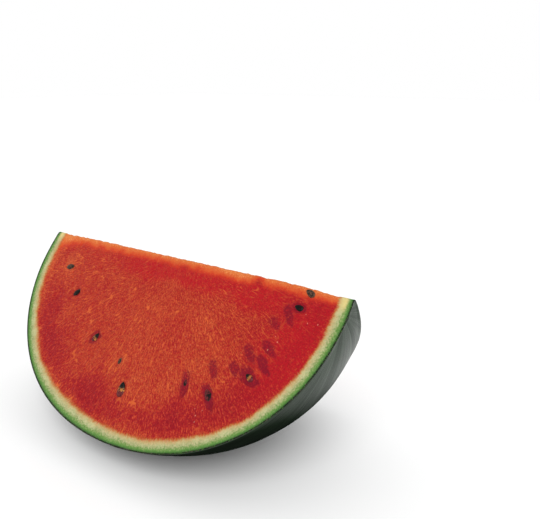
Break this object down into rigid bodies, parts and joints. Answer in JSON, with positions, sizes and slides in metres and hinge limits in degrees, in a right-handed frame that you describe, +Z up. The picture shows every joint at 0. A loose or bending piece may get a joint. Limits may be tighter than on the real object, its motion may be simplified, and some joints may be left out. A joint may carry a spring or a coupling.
{
  "type": "watermelon wedge",
  "caption": "Lengthwise wedge of a dark-skinned, seeded watermelon, with red flesh on its two cut faces, standing on its green rind with the ridge on top.",
  "frame": {"origin": "middle of the bounding box, at the level of the flat spot that the wedge stands on", "axes": "+X along the ridge, from one end of the melon to the other; -Y towards the front cut face; +Z up"},
  "size_m": [0.2696, 0.1402, 0.1181],
  "materials": {
    "flesh": "moist, finely fibrous red flesh, deeper crimson towards the rind and light orange along the ridge",
    "rind": "waxy near-black green skin over green and cream rind",
    "seed": "smooth black-brown seeds with a slight gloss"
  },
  "bodies": {
    "root": {"watermelon_wedge": "flesh"}
  },
  "joints": []
}
